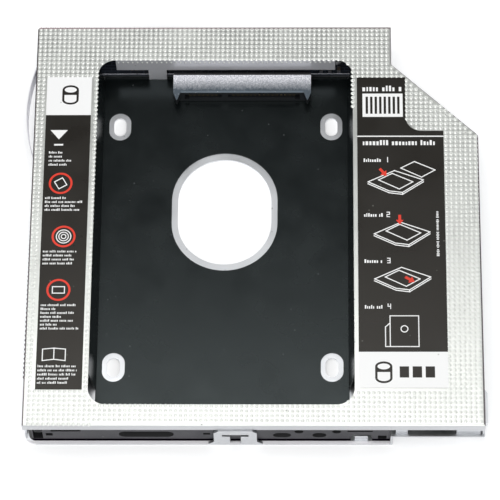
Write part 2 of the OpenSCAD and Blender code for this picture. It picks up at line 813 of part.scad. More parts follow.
module right_white_marks() {
    // White panel with a plain row of dark bars
    right_mark(0.8672, 1.6) difference() {
        square([11.6, 7.6]);
        for (i = [0:7]) translate([0.9 + i * 1.3, 1]) square([0.7, 5.6]);
    }
    right_mark(0.953, 1.6) square([11.6, 1.8]);
    // Thin line and header bar
    right_mark(0.8008, 0) square([24.8, 0.35]);
    right_mark(0.7733, 1.6) bars([21.4], 1, 1.6);
    for (i = [0:3]) {
        right_mark(step_share[i], 1.8) bars([5.4], 1, 1.1);
        right_mark(step_share[i], 8.3) numeral(i + 1);
    }
    right_mark(step_share[0], 3) translate([0, -6.4]) {
        tray_drawing();
        translate([3, 0.6]) drive_drawing();
        translate([9.4, 4.4]) drive_drawing();
    }
    right_mark(step_share[1], 4.6) translate([0, -5.4]) {
        tray_drawing();
        translate([3.4, 0.9]) drive_drawing();
    }
    right_mark(step_share[2], 4.6) translate([0, -5]) {
        tray_drawing();
        translate([3, 0.6]) drive_drawing();
    }
    right_mark(step_share[3], 8.8) translate([0, -11.6]) {
        path2d([[0, 0], [8, 0], [8, 9.4], [0, 9.4]], mark_t);
        path2d([[0, 0], [-1.3, 0], [-1.3, 6], [0, 7.2]], mark_t);
        translate([4, 5.4]) ring2d(1.1, mark_t);
    }
    right_mark(0.4127, 22.2) square([0.8, 14.4]);
    // White foot with a drum and three plain blocks
    difference() {
        translate([right_x0, right_y0]) square([right_w, right_field * right_l]);
        right_mark(0.048, 6.9) drum_mark(4.8, 6.6, 0.65);
        for (i = [0:2]) right_mark(0.0317, 11.3 + i * 3.6) square([2.6, 3.4]);
    }
}

module red_arrow(turn) {
    rotate(turn) {
        polygon([[0, -1.5], [1.1, 0], [-1.1, 0]]);
        translate([-0.4, -0.1]) square([0.8, 1.7]);
    }
}

module right_red_marks() {
    right_mark(step_share[0], 7.4) translate([0, -3.4]) red_arrow(40);
    right_mark(step_share[1], 11.9) translate([0, -1]) red_arrow(0);
    right_mark(step_share[2], 14.6) translate([0, -5.2]) red_arrow(60);
}

module right_label_red() {
    color([0.88, 0.22, 0.16]) mark_layer() right_red_marks();
}

base_pan();
top_cover();
insulating_film();
front_frame();
adapter_board();
drive_connector();
drive_signal_contacts();
drive_power_contacts();
bay_connector();
bay_signal_contacts();
bay_power_contacts();
board_screws();
board_capacitors();
side_spring();
left_label();
left_label_white();
left_label_red();
right_label();
right_label_white();
right_label_red();
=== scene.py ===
"""Finished surfaces of a notebook drive caddy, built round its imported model."""

import math
import random

import bmesh
import bpy
import numpy as np
from bpy.props import FloatProperty, FloatVectorProperty, PointerProperty
from mathutils import Matrix, Vector


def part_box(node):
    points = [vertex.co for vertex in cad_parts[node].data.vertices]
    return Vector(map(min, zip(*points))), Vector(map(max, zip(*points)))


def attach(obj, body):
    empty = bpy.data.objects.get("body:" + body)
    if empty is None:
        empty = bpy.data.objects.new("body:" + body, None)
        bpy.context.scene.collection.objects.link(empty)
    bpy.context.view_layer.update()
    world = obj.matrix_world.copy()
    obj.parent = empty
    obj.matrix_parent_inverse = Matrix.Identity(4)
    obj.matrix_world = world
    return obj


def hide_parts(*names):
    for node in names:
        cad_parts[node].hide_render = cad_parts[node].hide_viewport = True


bl_info = {
    "name": "Drive caddy looks",
    "version": (1, 0, 0),
    "blender": (4, 5, 0),
    "location": "3D View > Sidebar > Caddy",
    "description": "Builds the finished surfaces of a notebook drive caddy round its packed model",
    "category": "Object",
}

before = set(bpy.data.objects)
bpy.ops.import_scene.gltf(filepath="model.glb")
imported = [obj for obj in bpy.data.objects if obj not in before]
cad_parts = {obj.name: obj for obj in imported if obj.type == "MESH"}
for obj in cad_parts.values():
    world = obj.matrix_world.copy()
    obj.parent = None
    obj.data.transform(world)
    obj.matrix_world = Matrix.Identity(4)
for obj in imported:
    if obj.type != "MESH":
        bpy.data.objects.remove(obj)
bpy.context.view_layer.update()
MM = 0.001

# Places that the model gives, in metres
COVER_LOW, COVER_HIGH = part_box("top_cover")
FILM_LOW, FILM_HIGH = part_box("insulating_film")
STRIP_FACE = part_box("front_frame")[0].y
LEFT_LOW, LEFT_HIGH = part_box("left_label")
RIGHT_LOW, RIGHT_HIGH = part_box("right_label")

# Window in the cover, and the notch at its rear right
WINDOW_X = (-0.0451, 0.0289)
WINDOW_Y = (-0.05635, 0.05235)
WINDOW_R = 0.005
FLANGE_X = (-0.0401, 0.0239)
NOTCH_X = COVER_HIGH.x - 0.02475
NOTCH_NORMAL = (0.68701, 0.72665)
NOTCH_REACH = 0.06453

# Narrow head of the right sticker
RIGHT_HEAD_X = 0.0441
RIGHT_SHOULDER_Y = 0.02895
RIGHT_HOLLOW_R = 0.0045

# Distances within which places count as the same and corners merge
NEAR = 0.02 * MM
MERGE_REACH = 0.001 * MM

# Angles under which faces merge into one, or are shaded as one
FLAT_ANGLE = math.radians(1.0)
SMOOTH_ANGLE = math.radians(40.0)
DOME_ANGLE = math.radians(60.0)

# Embossed dots: depth in the sheet, start of the grid, and the row on the window's flange
DOT_SUNK = 0.03 * MM
DOT_START = (0.64 * MM, 0.22 * MM)
FLANGE_DOT_START = 0.7 * MM
FLANGE_DOT_DROP = 1.6 * MM
FLANGE_DOT_SHARE = 0.6

# Painted dark reflection in strips along the cover's rear and left edges: where each starts to fade in, and
# is full
REAR_PAINTED_DARK = (0.7 * MM, 0.45 * MM)
LEFT_PAINTED_DARK = (0.5 * MM, 0.35 * MM)

# How near the cover's outline a face belongs to a fold, or to a bend with painted dark reflection
FOLD_MARGIN = 0.1 * MM
BEND_SHADE_MARGIN = 0.35 * MM

# Room round the window's rear edge that holds the flange and its foot: to the front, rear and top
FLANGE_ROOM = (4.0 * MM, 0.6 * MM, 0.5 * MM)

# Parts of the front: top of the painted highlight on the pan's edge, and of the painted shade at the foot
# of the moulded strip
PAINTED_LIP_TOP = 1.3 * MM
STRIP_FOOT = 2.1 * MM
FOOT_FADE = 0.3 * MM

# Connectors and board: depth of the painted glare on the connector's top, its fade to the rear, and small
# edges and ends
GLARE_DEPTH = 0.6 * MM
GLARE_FADE = (4.4 * MM, 8.0 * MM)
GLARE_UNEVEN = 2.4 * MM
BOARD_EDGE = 0.16 * MM
SCREW_EDGE = 0.05 * MM
CAPACITOR_END = 0.4 * MM

# Stickers: their edge, and the least length and the heights of the bars that become rows of dashes
STICKER_EDGE = 0.03 * MM
BAR_LENGTH = 3.8 * MM
BAR_HEIGHTS = (0.6 * MM, 2.0 * MM)

# Rows of dashes: a dash's width as a share of the row's height, its own width and height as
# shares of those, the gaps after a dash and after a word in dashes, and the dashes of a word
DASH_SHARE = 0.36
DASH_WIDTHS = (0.7, 1.3)
DASH_HEIGHTS = (0.68, 0.72, 0.76, 1.0)
DASH_GAP = 0.6
WORD_GAP = 1.3
WORD_DASHES = (3, 8)

# Depth of the fine grain's relief
GRAIN_DEPTH = 0.05 * MM

# Even grain, for a finish that isn't drawn out
EVEN = (1.0, 1.0, 1.0)

# Studio: the softbox, the floor and its glow to the camera, in metres and watts
SOFTBOX_PLACE = (-0.02, -0.05, 0.5)
SOFTBOX_SIZE = (0.32, 0.48)
SOFTBOX_POWER = 1.05
FLOOR_SIZE = 6.0
FLOOR_DROP = 0.02 * MM
FLOOR_GLOW = 0.3

# Camera: its angles, its place along its own axes, and its focal length in pixels of the picture
CAMERA_LIFT = math.radians(64.3555)
CAMERA_TURN = math.radians(-2.5343)
CAMERA_ROLL = math.radians(2.3023)
CAMERA_AWAY = (-1.6267, -2.9043, 910.406)
CAMERA_OFFSET = (0.9, 0.25, 0.0)
CAMERA_FOCAL = 3164.777
PICTURE_WIDTH = 500.0
SENSOR_WIDTH = 36.0
CAMERA_RANGE = (0.01, 20.0)


def length(name, description, default):
    return FloatProperty(name=name, description=description, default=default, unit="LENGTH", precision=5)


def colour(name, description, default):
    return FloatVectorProperty(name=name, description=description, default=default, subtype="COLOR",
                               size=3, min=0.0, max=1.0)


class CaddySizes(bpy.types.PropertyGroup):
    dot_pitch: length("Dot pitch", "Distance between the embossed dots", 1.404 * MM)
    dot_radius: length("Dot radius", "Radius of an embossed dot at its foot", 0.64 * MM)
    dot_height: length("Dot height", "Height of an embossed dot", 0.19 * MM)
    dot_turn: FloatProperty(name="Dot turn", description="Turn of the dot grid against the cover's sides",
                            default=math.radians(-0.26), unit="ROTATION")
    bend_radius: length("Side bend radius", "Outer radius of the cover's side folds", 0.7 * MM)
    tight_radius: length("Tight bend radius", "Outer radius of the cover's front and rear folds", 0.28 * MM)
    corner_radius: length("Corner radius", "Rounding of the cover's rear left corner", 1.0 * MM)
    sheet_edge: length("Sheet edge", "Rounding of the cut edges of the metal sheets", 0.08 * MM)
    plastic_edge: length("Plastic edge", "Rounding of the edges of moulded pieces", 0.12 * MM)
    film_edge: length("Film edge", "Rounding of the film's edges", 0.04 * MM)


class CaddyColours(bpy.types.PropertyGroup):
    cover: colour("Cover", "Embossed aluminium of the cover", (0.86, 0.875, 0.835))
    # Fold tone: painted shade, a darker copy of the cover's aluminium on its plain, unembossed folds
    fold: colour("Fold", "Plain folded sides of the cover", (0.6, 0.61, 0.63))
    # Flange tone: painted shade, a darker half-metal copy of the cover's aluminium under the window's rear
    # edge
    flange: colour("Flange", "Shaded satin flange at the window's rear edge", (0.6, 0.6, 0.63))
    # Edge tone: painted dark reflection on the cover's bends, a dark copy of its aluminium
    edge: colour("Edge", "Dull bends at the cover's sides and rear", (0.13, 0.11, 0.12))
    pan: colour("Pan", "Plain aluminium of the pan", (0.75, 0.765, 0.785))
    # Lip tone: painted highlight, a white non-metal copy of the pan's aluminium
    lip: colour("Lip", "Bright front lip of the pan", (0.97, 0.95, 0.98))
    spring: colour("Spring", "Bright steel of the leaf spring", (0.86, 0.85, 0.89))
    spring_dull: colour("Spring, dull", "Duller tone of the leaf spring", (0.8, 0.79, 0.83))
    film: colour("Film", "Black insulating film", (0.003, 0.0042, 0.0046))
    plastic: colour("Front plastic", "Dark moulded front strip", (0.021, 0.02, 0.028))
    connector: colour("Connector", "Moulded body of the connectors", (0.012, 0.013, 0.015))
    # Connector top tone: painted glare on the black plastic
    connector_glare: colour("Connector top", "Painted glare top of the drive connector", (0.12, 0.15, 0.18))
    board: colour("Board", "Solder mask of the board", (0.016, 0.019, 0.026))
    contact: colour("Contacts", "Plated contacts", (0.86, 0.66, 0.3))
    label: colour("Label", "Black field of the stickers", (0.009, 0.0072, 0.005))
    white_ink: colour("White print", "White print on the stickers", (0.9, 0.9, 0.89))
    red_ink: colour("Red print", "Red print on the stickers", (0.78, 0.042, 0.018))
    floor: colour("Floor", "Pale floor of the stage", (0.86, 0.86, 0.86))


# Shader helpers

def add_node(tree, kind, inputs=None, **settings):
    """Adds a node, sets its properties and fills its sockets with values or links."""
    node = tree.nodes.new(kind)
    for key, value in settings.items():
        setattr(node, key, value)
    for key, value in (inputs or {}).items():
        if isinstance(value, bpy.types.NodeSocket):
            tree.links.new(value, node.inputs[key])
        else:
            node.inputs[key].default_value = value
    return node


def new_group(name, inputs, outputs):
    """Starts a shader node group with named float or vector sockets."""
    group = bpy.data.node_groups.new(name, "ShaderNodeTree")
    for socket, (kind, default) in inputs.items():
        made = group.interface.new_socket(socket, in_out="INPUT", socket_type=kind)
        made.default_value = default
    for socket, kind in outputs.items():
        group.interface.new_socket(socket, in_out="OUTPUT", socket_type=kind)
    return group, group.nodes.new("NodeGroupInput"), group.nodes.new("NodeGroupOutput")


def sheet_grain_group():
    """Fine grain, a roughness that drifts, and broad mottling."""
    name = "Sheet grain"
    if name in bpy.data.node_groups:
        return bpy.data.node_groups[name]
    group, given, out = new_group(
        name,
        {"Grain scale": ("NodeSocketFloat", 3000.0), "Stretch": ("NodeSocketVector", (1.0, 1.0, 1.0)),
         "Roughness low": ("NodeSocketFloat", 0.3), "Roughness high": ("NodeSocketFloat", 0.5)},
        {"Roughness": "NodeSocketFloat", "Height": "NodeSocketFloat", "Mottle": "NodeSocketFloat"})
    place = add_node(group, "ShaderNodeTexCoord").outputs["Object"]
    drawn = add_node(group, "ShaderNodeVectorMath", {0: place, 1: given.outputs["Stretch"]},
                     operation="MULTIPLY")
    grain = add_node(group, "ShaderNodeTexNoise",
                     {"Vector": drawn.outputs[0], "Scale": given.outputs["Grain scale"], "Detail": 3.0})
    drift = add_node(group, "ShaderNodeTexNoise", {"Vector": place, "Scale": 90.0, "Detail": 3.0})
    broad = add_node(group, "ShaderNodeTexNoise", {"Vector": place, "Scale": 28.0, "Detail": 2.0})
    rough = add_node(group, "ShaderNodeMapRange", {
        "Value": drift.outputs["Fac"], "From Min": 0.3, "From Max": 0.7,
        "To Min": given.outputs["Roughness low"], "To Max": given.outputs["Roughness high"]})
    mottle = add_node(group, "ShaderNodeMapRange", {
        "Value": broad.outputs["Fac"], "From Min": 0.32, "From Max": 0.68})
    group.links.new(rough.outputs["Result"], out.inputs["Roughness"])
    group.links.new(grain.outputs["Fac"], out.inputs["Height"])
    group.links.new(mottle.outputs["Result"], out.inputs["Mottle"])
    return group


def specks_group():
    """Mask of sparse small specks, such as dust and pin holes."""
    name = "Specks"
    if name in bpy.data.node_groups:
        return bpy.data.node_groups[name]
    group, given, out = new_group(
        name,
        {"Scale": ("NodeSocketFloat", 900.0), "Share": ("NodeSocketFloat", 0.05)},
        {"Mask": "NodeSocketFloat"})
    place = add_node(group, "ShaderNodeTexCoord").outputs["Object"]
    cells = add_node(group, "ShaderNodeTexVoronoi", {"Vector": place, "Scale": given.outputs["Scale"]})
    chance = add_node(group, "ShaderNodeSeparateColor", {"Color": cells.outputs["Color"]})
    chosen = add_node(group, "ShaderNodeMath", {0: chance.outputs[0], 1: given.outputs["Share"]},
                      operation="LESS_THAN")
    near = add_node(group, "ShaderNodeMapRange", {"Value": cells.outputs["Distance"], "From Min": 0.12,
                                                  "From Max": 0.3, "To Min": 1.0, "To Max": 0.0})
    mask = add_node(group, "ShaderNodeMath", {0: chosen.outputs[0], 1: near.outputs["Result"]},
                    operation="MULTIPLY")
    group.links.new(mask.outputs[0], out.inputs["Mask"])
    return group


def finish_of(name, tones, speck, metallic, rough, grain_scale, bump, share, stretch=EVEN,
              speck_scale=900.0):
    """Material of two mottled tones with grain, a drifting roughness and sparse specks."""
    material = bpy.data.materials.new(name)
    material.use_nodes = True
    tree = material.node_tree
    shader = tree.nodes["Principled BSDF"]
    grain = add_node(tree, "ShaderNodeGroup", node_tree=sheet_grain_group())
    grain.inputs["Grain scale"].default_value = grain_scale
    grain.inputs["Stretch"].default_value = stretch
    grain.inputs["Roughness low"].default_value = rough[0]
    grain.inputs["Roughness high"].default_value = rough[1]
    specks = add_node(tree, "ShaderNodeGroup", node_tree=specks_group())
    specks.inputs["Scale"].default_value = speck_scale
    specks.inputs["Share"].default_value = share
    body = add_node(tree, "ShaderNodeMix", {
        "Factor": grain.outputs["Mottle"], 6: (*tones[0], 1.0), 7: (*tones[1], 1.0)}, data_type="RGBA")
    full = add_node(tree, "ShaderNodeMix", {
        "Factor": specks.outputs["Mask"], 6: body.outputs[2], 7: (*speck, 1.0)}, data_type="RGBA")
    relief = add_node(tree, "ShaderNodeBump", {
        "Height": grain.outputs["Height"], "Strength": bump, "Distance": GRAIN_DEPTH})
    tree.links.new(full.outputs[2], shader.inputs["Base Color"])
    tree.links.new(grain.outputs["Roughness"], shader.inputs["Roughness"])
    tree.links.new(relief.outputs["Normal"], shader.inputs["Normal"])
    shader.inputs["Metallic"].default_value = metallic
    return material


def tint_gloss(material, tint):
    """Sets the colour of a finish's gloss."""
    material.node_tree.nodes["Principled BSDF"].inputs["Specular Tint"].default_value = (*tint, 1.0)
    return material


def darker(rgb, share):
    return tuple(channel * share for channel in rgb)


def two_tones(rgb, share):
    """A colour and its darker partner, between which a finish is mottled."""
    return rgb, darker(rgb, share)


def object_axis(tree, axis):
    """Place along one axis of the piece."""
    place = add_node(tree, "ShaderNodeTexCoord").outputs["Object"]
    return add_node(tree, "ShaderNodeSeparateXYZ", {0: place}).outputs[axis]


def rise(tree, value, start, end):
    """Mask that goes from 0 at the start value to 1 at the end value."""
    return add_node(tree, "ShaderNodeMapRange", {
        "Value": value, "From Min": start, "From Max": end, "To Min": 0.0, "To Max": 1.0}).outputs["Result"]


def paint_over(material, mask, tone):
    """Lays a colour over a finish where the mask is 1."""
    tree = material.node_tree
    base = tree.nodes["Principled BSDF"].inputs["Base Color"]
    if not isinstance(tone, bpy.types.NodeSocket):
        tone = (*tone, 1.0)
    both = add_node(tree, "ShaderNodeMix", {
        "Factor": mask, 6: base.links[0].from_socket, 7: tone}, data_type="RGBA")
    tree.links.new(both.outputs[2], base)
    return material


def give(piece, material):
    """Makes the material the only one on a piece or a CAD node."""
    piece.data.materials.clear()
    piece.data.materials.append(material)
    return piece


# Mesh helpers

def only(piece):
    """Selects one object alone and makes it the active one."""
    bpy.ops.object.select_all(action="DESELECT")
    piece.select_set(True)
    bpy.context.view_layer.objects.active = piece
    return piece


def select_parts(piece, edges=None, faces=None):
    """In edit mode, selects the edges or faces whose test is true."""
    mesh = bmesh.from_edit_mesh(piece.data)
    chosen = mesh.edges if edges else mesh.faces
    test = edges or faces
    bpy.ops.mesh.select_all(action="DESELECT")
    for part in chosen:
        if test(part):
            part.select_set(True)
    mesh.select_flush_mode()
    bmesh.update_edit_mesh(piece.data)


def merged_copy(node, name):
    """New piece with a CAD node's shape, its loose triangles merged into whole faces."""
    piece = bpy.data.objects.new(name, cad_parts[node].data.copy())
    bpy.context.scene.collection.objects.link(piece)
    only(piece)
    bpy.ops.mesh.customdata_custom_splitnormals_clear()
    bpy.ops.object.mode_set(mode="EDIT")
    bpy.ops.mesh.select_all(action="SELECT")
    bpy.ops.mesh.remove_doubles(threshold=MERGE_REACH)
    bpy.ops.mesh.dissolve_limited(angle_limit=FLAT_ANGLE)
    bpy.ops.object.mode_set(mode="OBJECT")
    return piece


def round_edges(piece, width, segments=2, angle=35.0):
    """Rounds every edge sharper than the angle, then shades the piece smooth between them."""
    only(piece)
    bevel = piece.modifiers.new("Rounding", "BEVEL")
    bevel.width = width
    bevel.segments = segments
    bevel.limit_method = "ANGLE"
    bevel.angle_limit = math.radians(angle)
    bevel.use_clamp_overlap = True
    bpy.ops.object.modifier_apply(modifier=bevel.name)
    bpy.ops.object.shade_smooth_by_angle(angle=SMOOTH_ANGLE)
    even = piece.modifiers.new("Even shading", "WEIGHTED_NORMAL")
    even.keep_sharp = True
    bpy.ops.object.modifier_apply(modifier=even.name)
    return piece


def join_into(piece, others):
    """Joins other objects' meshes into a piece."""
    only(piece)
    for other in others:
        other.select_set(True)
    bpy.ops.object.join()
    return piece


def settle(piece, slot, *nodes):
    """Rides a finished piece on the body and hides the nodes it stands for; the slot it is given is not
    used.
    """
    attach(piece, "root")
    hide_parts(*nodes)
    return piece


# Embossed cover

def in_window(x, y, margin):
    """True inside the window's rounded outline, grown by the margin."""
    x_mid, y_mid = sum(WINDOW_X) / 2, sum(WINDOW_Y) / 2
    x_half, y_half = (WINDOW_X[1] - WINDOW_X[0]) / 2, (WINDOW_Y[1] - WINDOW_Y[0]) / 2
    dx = np.maximum(np.abs(x - x_mid) - (x_half - WINDOW_R), 0)
    dy = np.maximum(np.abs(y - y_mid) - (y_half - WINDOW_R), 0)
    return np.hypot(dx, dy) < WINDOW_R + margin


def on_outline(x, y, margin):
    """True inside the cover's outer outline, shrunk by the margin."""
    inside = (x > COVER_LOW.x + margin) & (x < COVER_HIGH.x - margin)
    inside &= (y > COVER_LOW.y + margin) & (y < COVER_HIGH.y - margin)
    along = x * NOTCH_NORMAL[0] + y * NOTCH_NORMAL[1]
    return inside & ((x < NOTCH_X - margin) | (along < NOTCH_REACH - margin))


def under_label(x, y, margin):
    """True under either sticker, grown by the margin."""
    left = (x > LEFT_LOW.x - margin) & (x < LEFT_HIGH.x + margin)
    left &= (y > LEFT_LOW.y - margin) & (y < LEFT_HIGH.y + margin)
    right = (x > RIGHT_LOW.x - margin) & (x < RIGHT_HIGH.x + margin)
    right &= (y > RIGHT_LOW.y - margin) & (y < RIGHT_HIGH.y + margin)
    hollow_x, hollow_y = RIGHT_HEAD_X + RIGHT_HOLLOW_R, RIGHT_SHOULDER_Y + RIGHT_HOLLOW_R
    beside = (x > RIGHT_HEAD_X + margin) & (y > RIGHT_SHOULDER_Y + margin)
    reach = np.hypot(x - hollow_x, y - hollow_y)
    corner = (x < hollow_x) & (y < hollow_y) & (reach > RIGHT_HOLLOW_R - margin)
    return left | (right & (~beside | corner))


def dot_field(name, start, counts, pitch, radius, height):
    """Flat field of low domes on a square grid, made from one dome by two arrays."""
    bpy.ops.object.select_all(action="DESELECT")
    bpy.ops.mesh.primitive_uv_sphere_add(segments=8, ring_count=4, radius=radius, location=(0, 0, 0))
    field = bpy.context.active_object
    field.name = name
    bpy.ops.object.mode_set(mode="EDIT")
    bpy.ops.mesh.select_all(action="SELECT")
    bpy.ops.mesh.bisect(plane_co=(0, 0, 0), plane_no=(0, 0, 1), use_fill=True, clear_inner=True)
    bpy.ops.object.mode_set(mode="OBJECT")
    field.scale = (1, 1, (height + DOT_SUNK) / radius)
    field.location = (start[0], start[1], start[2] - DOT_SUNK)
    bpy.ops.object.transform_apply(location=True, rotation=True, scale=True)
    for axis, count in enumerate(counts):
        row = field.modifiers.new("Row", "ARRAY")
        row.use_relative_offset = False
        row.use_constant_offset = True
        row.constant_offset_displace = [pitch if i == axis else 0 for i in range(3)]
        row.count = count
        bpy.ops.object.modifier_apply(modifier=row.name)
    return field


def keep_dots(field, start, pitch, turn, keep):
    """Turns a flat field a little about the origin and deletes the domes whose middle fails the test."""
    only(field)
    co = np.zeros(len(field.data.vertices) * 3)
    field.data.vertices.foreach_get("co", co)
    co = co.reshape(-1, 3)
    x = start[0] + np.round((co[:, 0] - start[0]) / pitch) * pitch
    y = start[1] + np.round((co[:, 1] - start[1]) / pitch) * pitch
    bpy.ops.object.mode_set(mode="EDIT")
    bpy.ops.mesh.select_mode(type="VERT")
    bpy.ops.mesh.select_all(action="DESELECT")
    bpy.ops.object.mode_set(mode="OBJECT")
    turned = x * math.cos(turn) - y * math.sin(turn), x * math.sin(turn) + y * math.cos(turn)
    field.data.vertices.foreach_set("select", ~keep(*turned))
    bpy.ops.object.mode_set(mode="EDIT")
    bpy.ops.mesh.delete(type="VERT")
    bpy.ops.object.mode_set(mode="OBJECT")
    field.rotation_euler = (0, 0, turn)
    bpy.ops.object.transform_apply(location=True, rotation=True, scale=True)
    return field


def stand_field(field, y, top):
    """Turns a flat field upright, facing the front, with its far row at the given height."""
    only(field)
    field.rotation_euler = (math.radians(90.0), 0, 0)
    field.location = (0, y, top)
    bpy.ops.object.transform_apply(location=True, rotation=True, scale=True)
    return field


def painted_dark_edges(material):
    """Paints dark reflection in a thin dull strip along the cover's rear edge and a darker one along its
    left edge.
    """
    tree = material.node_tree
    rear = rise(tree, object_axis(tree, "Y"), *(COVER_HIGH.y - inset for inset in REAR_PAINTED_DARK))
    paint_over(material, rear, (0.47, 0.37, 0.38))
    left = rise(tree, object_axis(tree, "X"), *(COVER_LOW.x + inset for inset in LEFT_PAINTED_DARK))
    return paint_over(material, left, (0.16, 0.14, 0.15))


def shaded_fold_finish(name, tone, fade, metallic=1.0):
    """Plain sheet metal of the cover's folded parts, in a darker tone that is painted shade."""
    return finish_of(name, two_tones(tone, fade), darker(tone, 0.6), metallic=metallic, rough=(0.3, 0.42),
                     grain_scale=2600.0, bump=0.3, share=0.01)


class CADDY_OT_cover(bpy.types.Operator):
    """Builds the embossed cover with rolled folds and its grid of dots"""
    bl_idname = "caddy.cover"
    bl_label = "Embossed cover"

    def execute(self, context):
        sizes, colours = context.scene.caddy_sizes, context.scene.caddy_colours
        sheet = merged_copy("top_cover", "embossed_cover")
        self.fold_edges(sheet, sizes)
        round_edges(sheet, sizes.sheet_edge, segments=1)
        dots, flange_dots = self.emboss(sizes)
        # The cover's finish carries painted dark reflection along its rear and left edges
        embossed = painted_dark_edges(finish_of(
            "Embossed aluminium", two_tones(colours.cover, 0.94), darker(colours.cover, 0.5), metallic=1.0,
            rough=(0.28, 0.36), grain_scale=2600.0, bump=0.35, share=0.01))
        for part in (sheet, dots, flange_dots):
            give(part, embossed)
        sheet.data.materials.append(shaded_fold_finish("Shaded plain fold", colours.fold, 0.93))
        sheet.data.materials.append(shaded_fold_finish("Painted bend shade", colours.edge, 0.8))
        sheet.data.materials.append(shaded_fold_finish("Shaded satin flange", colours.flange, 0.93, metallic=0.45))
        shaded_fold_slot, bend_shade_slot, shaded_flange_slot = 1, 2, 3
        ahead, behind, below = FLANGE_ROOM
        for face in sheet.data.polygons:
            x, y, z = face.center
            # Side folds are plain unembossed metal, and their darker tone is painted shade
            if not on_outline(x, y, FOLD_MARGIN) and abs(face.normal.z) < 0.5:
                face.material_index = shaded_fold_slot
            # Bend faces near the outline get the painted dark reflection
            if not on_outline(x, y, BEND_SHADE_MARGIN) and face.normal.y > -0.5 and 0.1 < face.normal.z < 0.93:
                face.material_index = bend_shade_slot
            # Faces of the window's flange get the painted shade
            if WINDOW_Y[1] - ahead < y < WINDOW_Y[1] + behind and z < COVER_HIGH.z - below:
                face.material_index = shaded_flange_slot
        join_into(sheet, [dots, flange_dots])
        settle(sheet, "cover_metal", "top_cover")
        return {"FINISHED"}

    def fold_edges(self, sheet, sizes):
        """Rounds the rear left corner, the wide side folds and the tight folds at the other edges."""
        top = COVER_HIGH.z

        def on_top(edge):
            return all(abs(vert.co.z - top) < NEAR for vert in edge.verts) and edge.calc_length() > NEAR

        def is_side_bend(edge):
            return on_top(edge) and all(min(vert.co.x - COVER_LOW.x, COVER_HIGH.x - vert.co.x) < NEAR
                                        for vert in edge.verts)

        def is_tight_bend(edge):
            mid = (edge.verts[0].co + edge.verts[1].co) / 2
            outer = not on_outline(mid.x, mid.y, NEAR)
            flange = all(abs(vert.co.y - WINDOW_Y[1]) < NEAR for vert in edge.verts)
            flange = flange and FLANGE_X[0] - NEAR < mid.x < FLANGE_X[1] + NEAR
            side = min(mid.x - COVER_LOW.x, COVER_HIGH.x - mid.x) < sizes.bend_radius
            return on_top(edge) and (outer or flange) and not side

        def is_rear_corner(edge):
            first, second = edge.verts
            at_corner = all(vert.co.x < COVER_LOW.x + 0.5 * MM and vert.co.y > COVER_HIGH.y - 0.5 * MM
                            for vert in edge.verts)
            return at_corner and abs(first.co.z - second.co.z) > 1.0 * MM

        only(sheet)
        bpy.ops.object.mode_set(mode="EDIT")
        bpy.ops.mesh.select_mode(type="EDGE")
        for test, radius in ((is_rear_corner, sizes.corner_radius), (is_side_bend, sizes.bend_radius),
                             (is_tight_bend, sizes.tight_radius)):
            select_parts(sheet, edges=test)
            bpy.ops.mesh.bevel(offset=radius, segments=4, affect="EDGES", profile=0.5)
        bpy.ops.object.mode_set(mode="OBJECT")

    def emboss(self, sizes):
        """Makes the dots of the top, and the row of smaller ones on the window's flange."""
        pitch, radius, height = sizes.dot_pitch, sizes.dot_radius, sizes.dot_height
        start = (COVER_LOW.x + DOT_START[0], COVER_LOW.y + DOT_START[1], COVER_HIGH.z)
        span = COVER_HIGH - COVER_LOW
        counts = (int(span.x / pitch) + 1, int(span.y / pitch) + 1)
        dots = dot_field("dots", start, counts, pitch, radius, height)

        def is_bare(x, y):
            on_sheet = on_outline(x, y, sizes.tight_radius * 1.5) & ~in_window(x, y, radius * 0.1)
            return on_sheet & ~under_label(x, y, radius * 0.25)

        keep_dots(dots, start, pitch, sizes.dot_turn, is_bare)
        flange_start = (FLANGE_X[0] + FLANGE_DOT_START, 0, 0)
        flange_counts = (int((FLANGE_X[1] - FLANGE_X[0]) / pitch), 1)
        flange_dots = dot_field("flange dots", flange_start, flange_counts, pitch,
                                radius * FLANGE_DOT_SHARE, height)
        stand_field(flange_dots, WINDOW_Y[1], COVER_HIGH.z - FLANGE_DOT_DROP)
        for part in (dots, flange_dots):
            only(part)
            bpy.ops.object.shade_smooth_by_angle(angle=DOME_ANGLE)
        return dots, flange_dots


# Pan, film and front strip

